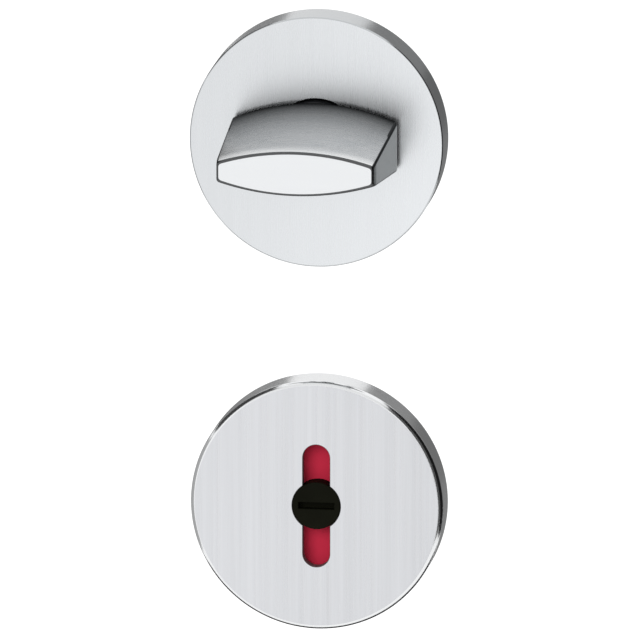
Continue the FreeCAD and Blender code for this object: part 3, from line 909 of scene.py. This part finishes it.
def snap_ring_tree():
    """Open ring of square wire that follows an arc."""
    tree, keys, given = new_shape_tree(
        "snap ring", Radius=24 * MM, Wire=1.2 * MM, Opening=0.42, Level=0.0, Height=0.0)
    sweep = maths(tree, "SUBTRACT", FULL_TURN, given["Opening"])
    start = maths(tree, "SUBTRACT", maths(tree, "MULTIPLY", given["Opening"], 0.5), QUARTER)
    arc = add(tree, "GeometryNodeCurveArc", {
        "Resolution": 160, "Radius": given["Radius"], "Start Angle": start, "Sweep Angle": sweep}).outputs["Curve"]
    place = vector_of(tree, Y=given["Level"], Z=given["Height"])
    stood = add(tree, "GeometryNodeTransform", {
        "Geometry": arc, "Translation": place, "Rotation": (QUARTER, 0.0, 0.0)}).outputs[0]
    side = given["Wire"]
    section = add(tree, "GeometryNodeCurvePrimitiveQuadrilateral", {"Width": side, "Height": side}).outputs[0]
    soft = add(tree, "GeometryNodeFilletCurve", {
        "Curve": section, "Count": 3, "Radius": maths(tree, "MULTIPLY", side, 0.15)}, mode="POLY").outputs[0]
    wire = add(tree, "GeometryNodeCurveToMesh", {
        "Curve": stood, "Profile Curve": soft, "Fill Caps": True}).outputs[0]
    end_shape_tree(tree, wire, given["Material"])
    return tree, keys


def screw_tree():
    """Screws on points: a turned head and shank, and a thread whose ridge climbs with the angle."""
    tree, keys, given = new_shape_tree(
        "machine screws", Blank="Object", Pitch=0.7 * MM, Core=1.65 * MM, Crest=2 * MM, Length=30 * MM, Start=6 * MM)
    point_start, point_end, point_width = 0.49, 0.4975, 0.78
    grid = add(tree, "GeometryNodeMeshGrid", {
        "Size X": 1.0, "Size Y": 1.0, "Vertices X": 25, "Vertices Y": 421}).outputs["Mesh"]
    spot = add(tree, "ShaderNodeSeparateXYZ", {0: add(tree, "GeometryNodeInputPosition").outputs[0]})
    around = maths(tree, "ADD", spot.outputs["X"], 0.5)
    along = maths(tree, "ADD", spot.outputs["Y"], 0.5)
    travel = maths(tree, "MULTIPLY", along, given["Length"])
    climb = maths(tree, "FRACT", maths(tree, "SUBTRACT", maths(tree, "DIVIDE", travel, given["Pitch"]), around))
    swing = maths(tree, "ABSOLUTE", maths(tree, "SUBTRACT", maths(tree, "MULTIPLY", climb, 2.0), 1.0))
    ridge = ranged(
        tree, maths(tree, "SUBTRACT", 1.0, swing), THREAD_FLAT, 1 - THREAD_FLAT, given["Core"], given["Crest"])
    from_middle = maths(tree, "ABSOLUTE", spot.outputs["Y"])
    inward = ranged(tree, from_middle, point_start, point_end, 1.0, point_width)
    open_end = maths(tree, "LESS_THAN", from_middle, 0.4999)
    radius = maths(tree, "MULTIPLY", maths(tree, "MULTIPLY", ridge, inward), open_end)
    angle = maths(tree, "MULTIPLY", around, FULL_TURN)
    wrapped = vector_of(
        tree, X=maths(tree, "MULTIPLY", radius, maths(tree, "COSINE", angle)),
        Y=maths(tree, "ADD", travel, given["Start"]), Z=maths(tree, "MULTIPLY", radius, maths(tree, "SINE", angle)),
    )
    thread = add(tree, "GeometryNodeSetPosition", {"Geometry": grid, "Position": wrapped}).outputs[0]
    closed = add(tree, "GeometryNodeMergeByDistance", {"Geometry": thread, "Distance": 0.002 * MM}).outputs[0]
    blank = add(tree, "GeometryNodeObjectInfo", {"Object": given["Blank"]}).outputs["Geometry"]
    joined = add(tree, "GeometryNodeJoinGeometry")
    tree.links.new(closed, joined.inputs[0])
    tree.links.new(blank, joined.inputs[0])
    screws = add(tree, "GeometryNodeInstanceOnPoints", {
        "Points": given["Geometry"], "Instance": joined.outputs[0]}).outputs[0]
    end_shape_tree(tree, screws, given["Material"])
    return tree, keys


class LOCK_OT_cover_springs(bpy.types.Operator):
    """Snap rings of square wire that hold both covers"""

    bl_idname = "lock.cover_springs"
    bl_label = "Snap rings"

    def execute(self, context):
        sizes = context.scene.lock_fixings
        tree, keys = snap_ring_tree()
        for name, node, height in (
            ("inside_snap_ring", "turn_cover_spring", 0.0),
            ("outside_snap_ring", "indicator_cover_spring", LOWER_AXIS),
        ):
            obj = grown(name, bpy.data.meshes.new(name), tree, keys, {
                "Radius": sizes.wire_radius, "Wire": sizes.wire, "Opening": sizes.wire_opening,
                "Level": -sizes.wire_level, "Height": height, "Material": finish("oiled_steel"),
            })
            belongs(obj, "roses", "spring_steel", node)
        return {"FINISHED"}


class LOCK_OT_spindle(bpy.types.Operator):
    """Square spindle with softened edges, and its cross pin"""

    bl_idname = "lock.spindle"
    bl_label = "Spindle and pin"

    def execute(self, context):
        dressed("spindle", "square_spindle", "turn", "plated_steel", "zinc_plate", 0.25 * MM)
        dressed("spindle_pin", "cross_pin", "turn", "plated_steel", "zinc_plate", 0.15 * MM)
        return {"FINISHED"}


def cross(half_span, half_width):
    """Outline of a cross with two bars."""
    return widest(rectangle(half_span, half_width), rectangle(half_width, half_span))


def make_screw_blank(sizes):
    """Head with its cross recess, plain shank and point of one machine screw, on the rose axis."""
    front = SCREW_LOW[1]
    recess = front + 1.5 * MM
    point = sizes.thread_front + 0.6 * MM
    half_span, half_width = 2.1 * MM, 0.45 * MM
    deep_span, mouth_span = 0.45 * half_span, 1.04 * half_span
    rings = [
        (0, recess),
        (cross(deep_span, 0.5 * half_width), recess),
        (cross(half_span, half_width), front + FINE),
        (cross(mouth_span, 1.2 * half_width), front),
        (sizes.head - FINE, front),
        (sizes.head, front + FINE),
        (sizes.shank, front + sizes.head - sizes.shank),
        (sizes.shank, sizes.thread_front),
        (sizes.core, sizes.thread_front + 0.3 * MM),
        (sizes.core * 0.8, point),
        (0, point),
    ]
    corners = in_four(pi / 4)
    for span in (half_span, mouth_span, deep_span):
        corners += rectangle_corners(span, half_width) + rectangle_corners(half_width, span)
    bm = bmesh.new()
    turned(bm, rings, even_angles(48, corners))
    return raw_piece("screw_blank", bm, ["zinc_plate"])


class LOCK_OT_fixing_screws(bpy.types.Operator):
    """Long machine screws of the inside half, with their threads"""

    bl_idname = "lock.fixing_screws"
    bl_label = "Machine screws"

    def execute(self, context):
        sizes = context.scene.lock_fixings
        blank = make_screw_blank(sizes)
        blank_mesh = blank.data
        spot = SCREW_HIGH[0] - sizes.head
        mesh = bpy.data.meshes.new("machine_screws")
        mesh.from_pydata([(-spot, 0, spot), (spot, 0, -spot)], [], [])
        tree, keys = screw_tree()
        obj = grown("machine_screws", mesh, tree, keys, {
            "Blank": blank, "Pitch": sizes.pitch, "Core": sizes.core, "Crest": sizes.crest,
            "Length": SCREW_HIGH[1] - sizes.thread_front, "Start": sizes.thread_front,
            "Material": finish("zinc_plate"),
        })
        bpy.data.objects.remove(blank)
        bpy.data.meshes.remove(blank_mesh)
        belongs(obj, "roses", "plated_steel", "fixing_screws")
        return {"FINISHED"}


class LOCK_OT_threaded_sleeves(bpy.types.Operator):
    """Sleeves of the outside half: six-sided head and a threaded bore"""

    bl_idname = "lock.threaded_sleeves"
    bl_label = "Threaded sleeves"

    def execute(self, context):
        sizes = context.scene.lock_fixings
        front, back = SLEEVE_LOW[1], SLEEVE_HIGH[1]
        head_back = front + 1.2 * MM
        soft = 0.15 * MM
        flats = sizes.sleeve_flats

        def thread(level):
            def radius(angle):
                phase = ((back - level) / sizes.pitch + angle / FULL_TURN) % 1.0
                peak = min(max((1 - abs(2 * phase - 1) - THREAD_FLAT) / (1 - 2 * THREAD_FLAT), 0.0), 1.0)
                return sizes.core + (sizes.crest - sizes.core) * peak
            return radius

        rings = [
            (0, front),
            (hexagon(flats - soft), front),
            (hexagon(flats), front + soft),
            (hexagon(flats), head_back),
            (sizes.sleeve, head_back),
            (sizes.sleeve, back - soft),
            (sizes.sleeve - soft, back),
            (sizes.crest + FINE, back),
        ]
        rings_per_pitch = 8
        steps = int((back - head_back) / sizes.pitch * rings_per_pitch)
        for index in range(1, steps):
            level = back - (back - head_back) * index / steps
            rings.append((thread(level), level))
        rings += [(sizes.core, head_back), (0, head_back)]
        corners = [pi * index / 3 for index in range(6)]
        across = SLEEVE_HIGH[0] - flats / cos(pi / 6)
        bm = bmesh.new()
        for side in (1, -1):
            turned(bm, rings, even_angles(48, corners), (side * across, LOWER_AXIS + side * across))
        obj = piece("threaded_sleeves_pair", bm, ["zinc_plate"])
        belongs(obj, "roses", "plated_steel", "threaded_sleeves")
        return {"FINISHED"}


class LOCK_OT_release_hub(bpy.types.Operator):
    """Black release hub: coin slot in front, square socket behind, pegs for the disc"""

    bl_idname = "lock.release_hub"
    bl_label = "Release hub"

    def execute(self, context):
        window = context.scene.lock_window
        front, back = HUB_LOW[1], HUB_HIGH[1]
        slot_floor = front + window.coin_depth
        socket_end = DISC_BACK + 0.9 * MM
        soft = window.hub_edge
        flare = 0.2 * MM
        coin = (window.coin_length, window.coin_width)
        wide_coin = (window.coin_length + FINE, window.coin_width + FINE)
        square = rectangle(window.socket, window.socket)
        rings = [(0, slot_floor), (rectangle(*coin), slot_floor), (rectangle(*coin), front + FINE),
                 (rectangle(*wide_coin), front)]
        rings += rounded(window.hub, front, soft)
        rings += [
            (window.hub, DISC_BACK),
            (window.journal - soft, DISC_BACK),
            (window.journal, DISC_BACK + soft),
            *ring_groove(window.journal, "indicator_retaining_ring"),
            (window.journal, back - 2 * soft),
            (window.journal - 2 * soft, back),
            (rectangle(window.socket + flare, window.socket + flare), back),
            (square, back - flare),
            (square, socket_end),
            (0, socket_end),
        ]
        corners = rectangle_corners(*coin) + rectangle_corners(*wide_coin) + rectangle_corners(1, 1)
        bm = bmesh.new()
        turned(bm, rings, even_angles(128, corners), (0.0, LOWER_AXIS))
        peg, peg_front = 0.7 * MM, DISC_BACK - 0.6 * MM
        peg_rings = [(0, peg_front), (peg - FINE, peg_front), (peg, peg_front + FINE), (peg, DISC_BACK), (0, DISC_BACK)]
        reach = (window.hub + window.journal) / 2 / sqrt(2)
        for side in (1, -1):
            turned(bm, peg_rings, even_angles(24), (side * reach, LOWER_AXIS + side * reach))
        obj = piece("black_release_hub", bm, ["hub_plastic"])
        belongs(obj, "release", "black_plastic", "release_hub")
        return {"FINISHED"}


class LOCK_OT_indicator_disc(bpy.types.Operator):
    """White indicator disc and its two red fields"""

    bl_idname = "lock.indicator_disc"
    bl_label = "Indicator disc"

    def execute(self, context):
        dressed("indicator_disc", "white_disc", "release", "white_plastic", "disc_plastic", 0.06 * MM)
        dressed("indicator_red_fields", "red_fields", "release", "red_plastic", "red_field_plastic", 0.04 * MM)
        return {"FINISHED"}


def glow(name, value):
    """Even glowing surface of one grey."""
    material = bpy.data.materials.new(name)
    material.use_nodes = True
    tree = material.node_tree
    tree.nodes.clear()
    light = add(tree, "ShaderNodeEmission", {"Color": (value, value, value, 1), "Strength": 1.0})
    tree.links.new(light.outputs[0], tree.nodes.new("ShaderNodeOutputMaterial").inputs["Surface"])
    return material


def make_world(ambient):
    """White surroundings, a little weaker on matt surfaces."""
    world = bpy.data.worlds.new("studio world")
    world.use_nodes = True
    tree = world.node_tree
    tree.nodes.clear()
    path = add(tree, "ShaderNodeLightPath").outputs
    seen = maths(tree, "MAXIMUM", path["Is Camera Ray"], path["Is Glossy Ray"])
    seen = maths(tree, "MAXIMUM", seen, path["Is Transmission Ray"])
    white = add(tree, "ShaderNodeBackground", {"Color": (1, 1, 1, 1), "Strength": 1.0}).outputs[0]
    soft = add(tree, "ShaderNodeBackground", {"Color": (1, 1, 1, 1), "Strength": ambient}).outputs[0]
    mixed = add(tree, "ShaderNodeMixShader", {0: seen, 1: soft, 2: white}).outputs[0]
    tree.links.new(mixed, tree.nodes.new("ShaderNodeOutputWorld").inputs["Surface"])
    bpy.context.scene.world = world


def make_floor(level):
    """Plain pale floor that shows white where it is lit, keeps the shadow and is clear from below."""
    mesh = bpy.data.meshes.new("studio_floor")
    reach = 6.0
    mesh.from_pydata([(-reach, -reach, level), (reach, -reach, level), (reach, reach, level), (-reach, reach, level)],
                     [], [(0, 1, 2, 3)])
    material, tree, shader = plain_finish("pale floor", 0.0, 0.9, Specular_IOR_Level=0.0)
    shader.inputs["Base Color"].default_value = (0.8, 0.8, 0.8, 1)
    path = add(tree, "ShaderNodeLightPath").outputs
    lift = add(tree, "ShaderNodeEmission", {"Color": (0.4, 0.4, 0.4, 1), "Strength": path["Is Camera Ray"]})
    lit = add(tree, "ShaderNodeAddShader", {0: shader.outputs[0], 1: lift.outputs[0]}).outputs[0]
    white = add(tree, "ShaderNodeEmission", {"Color": (1, 1, 1, 1), "Strength": 1.0}).outputs[0]
    mirrored = maths(tree, "MAXIMUM", path["Is Glossy Ray"], path["Is Transmission Ray"])
    both = add(tree, "ShaderNodeMixShader", {0: mirrored, 1: lit, 2: white}).outputs[0]
    below = add(tree, "ShaderNodeNewGeometry").outputs["Backfacing"]
    clear = add(tree, "ShaderNodeBsdfTransparent").outputs[0]
    sided = add(tree, "ShaderNodeMixShader", {0: below, 1: both, 2: clear}).outputs[0]
    tree.links.new(sided, tree.nodes["Material Output"].inputs["Surface"])
    mesh.materials.append(material)
    placed("studio_floor", mesh)


MIDDLE = Vector((0.0, 0.0, LOWER_AXIS / 2))  # of the two roses


def directions(azimuth, elevation):
    """Outward, sideways and upward; azimuth 0 is in front of the object, a quarter turn to its right."""
    outward = Vector((
        sin(azimuth) * cos(elevation), -cos(azimuth) * cos(elevation), sin(elevation),
    ))
    side = Vector((cos(azimuth), sin(azimuth), 0.0))
    return outward, side, outward.cross(side)


def make_card(name, azimuth, elevation, distance, width, height, value):
    """Grey card that only shows in reflections."""
    outward, side, upward = directions(radians(azimuth), radians(elevation))
    spot = MIDDLE + outward * distance
    corners = [spot + side * a * width / 2 + upward * b * height / 2 for a, b in ((-1, -1), (1, -1), (1, 1), (-1, 1))]
    mesh = bpy.data.meshes.new(name)
    mesh.from_pydata([tuple(corner) for corner in corners], [], [(0, 1, 2, 3)])
    mesh.materials.append(glow(name + " grey", value))
    card = placed(name, mesh)
    for ray in ("camera", "diffuse", "transmission", "shadow"):
        setattr(card, "visible_" + ray, False)


def make_light(name, place, size, power):
    """Large soft lamp that faces the middle of the object."""
    data = bpy.data.lights.new(name, "AREA")
    data.shape = "SQUARE"
    data.size = size
    data.energy = power
    lamp = placed(name, data)
    lamp.location = Vector(place)
    lamp.rotation_euler = (lamp.location - MIDDLE).to_track_quat("Z", "Y").to_euler()
    lamp.visible_glossy = False


def make_camera(studio):
    """Long lens from a little to the right and above, as in the photograph."""
    back, right, up = directions(studio.azimuth, studio.elevation)
    aim_right, aim_up = 0.773, 0.895  # in millimetres, from the middle between the two fronts
    target = Vector((0.0, COVER_LOW[1], LOWER_AXIS / 2)) + right * aim_right * MM + up * aim_up * MM
    data = bpy.data.cameras.new("photo camera")
    data.sensor_width = 36.0
    data.lens = data.sensor_width * studio.distance / studio.width
    data.clip_end = 50.0
    camera = placed("photo camera", data)
    place = target + back * studio.distance
    camera.matrix_world = Matrix((
        (right.x, up.x, back.x, place.x), (right.y, up.y, back.y, place.y), (right.z, up.z, back.z, place.z),
        (0, 0, 0, 1),
    ))
    bpy.context.scene.camera = camera


CARDS = (  # name, azimuth and elevation in degrees, distance, width and height in metres, grey
    ("back_low_card", 180, -25, 1.0, 1.7, 0.7, 0.22),
    ("back_right_low_card", 155, -6, 1.04, 0.8, 0.42, 0.16),
    ("back_right_card", 155, 18, 1.05, 0.8, 0.54, 0.26),
    ("back_card", -175, 14, 1.1, 0.35, 0.72, 0.88),
    ("back_left_card", -148, 5, 1.05, 0.68, 0.8, 0.26),
    ("right_card", 95, 4, 0.95, 1.6, 2.3, 0.01),
    ("left_card", -95, -14, 0.95, 1.5, 1.0, 0.40),
    ("upper_left_card", -92, 38, 1.0, 1.5, 0.75, 0.05),
    ("front_right_card", 48, 4, 1.1, 0.9, 2.0, 0.08),
    ("front_upper_card", -5, 43, 1.15, 2.0, 0.95, 0.85),
    ("lower_card", 180, -74, 0.17, 0.36, 0.13, 0.04),
)


class LOCK_OT_studio(bpy.types.Operator):
    """Pale floor, soft light, reflection cards and the camera"""

    bl_idname = "lock.studio"
    bl_label = "Studio"

    def execute(self, context):
        studio = context.scene.lock_studio
        context.scene.view_settings.view_transform = "Standard"
        make_world(studio.ambient)
        make_floor(studio.floor)
        make_light("top_light", (-0.2, 0.25, 1.1), 0.9, 9.0)
        make_light("front_light", (-0.5, -1.3, 0.5), 0.9, 13.0)
        for card in CARDS:
            make_card(*card)
        make_camera(studio)
        return {"FINISHED"}


OPERATORS = (
    LOCK_OT_turn_rose_cover,
    LOCK_OT_indicator_rose_cover,
    LOCK_OT_base_plates,
    LOCK_OT_thumb_turn,
    LOCK_OT_bearings,
    LOCK_OT_retaining_rings,
    LOCK_OT_cover_springs,
    LOCK_OT_spindle,
    LOCK_OT_fixing_screws,
    LOCK_OT_threaded_sleeves,
    LOCK_OT_release_hub,
    LOCK_OT_indicator_disc,
    LOCK_OT_studio,
)
GROUPS = {
    "lock_roses": LockRoseSizes,
    "lock_window": LockWindowSizes,
    "lock_grip": LockGripSizes,
    "lock_fixings": LockFixingSizes,
    "lock_colours": LockColours,
    "lock_studio": LockStudio,
}


class LOCK_PT_panel(bpy.types.Panel):
    """Lists the pieces' operators and their sizes"""

    bl_idname = "LOCK_PT_panel"
    bl_label = "Thumb turn lock"
    bl_space_type = "VIEW_3D"
    bl_region_type = "UI"
    bl_category = "Lock"

    def draw(self, context):
        layout = self.layout
        for operator in OPERATORS:
            layout.operator(operator.bl_idname)
        for group in GROUPS:
            box = layout.box()
            values = getattr(context.scene, group)
            box.label(text=group.replace("lock_", "").capitalize())
            for key in values.bl_rna.properties.keys():
                if key not in ("rna_type", "name"):
                    box.prop(values, key)


CLASSES = tuple(GROUPS.values()) + OPERATORS + (LOCK_PT_panel,)


def register():
    """Registers the classes and gives the scene its settings."""
    for item in CLASSES:
        bpy.utils.register_class(item)
    for name, group in GROUPS.items():
        setattr(bpy.types.Scene, name, PointerProperty(type=group))


def unregister():
    """Takes the settings and the classes away again."""
    for name in GROUPS:
        delattr(bpy.types.Scene, name)
    for item in reversed(CLASSES):
        bpy.utils.unregister_class(item)


def main():
    """Builds every piece and the studio."""
    register()
    bpy.ops.lock.turn_rose_cover()
    bpy.ops.lock.indicator_rose_cover()
    bpy.ops.lock.base_plates()
    bpy.ops.lock.thumb_turn()
    bpy.ops.lock.bearings()
    bpy.ops.lock.retaining_rings()
    bpy.ops.lock.cover_springs()
    bpy.ops.lock.spindle()
    bpy.ops.lock.fixing_screws()
    bpy.ops.lock.threaded_sleeves()
    bpy.ops.lock.release_hub()
    bpy.ops.lock.indicator_disc()
    bpy.ops.lock.studio()


if __name__ == "__main__":
    main()
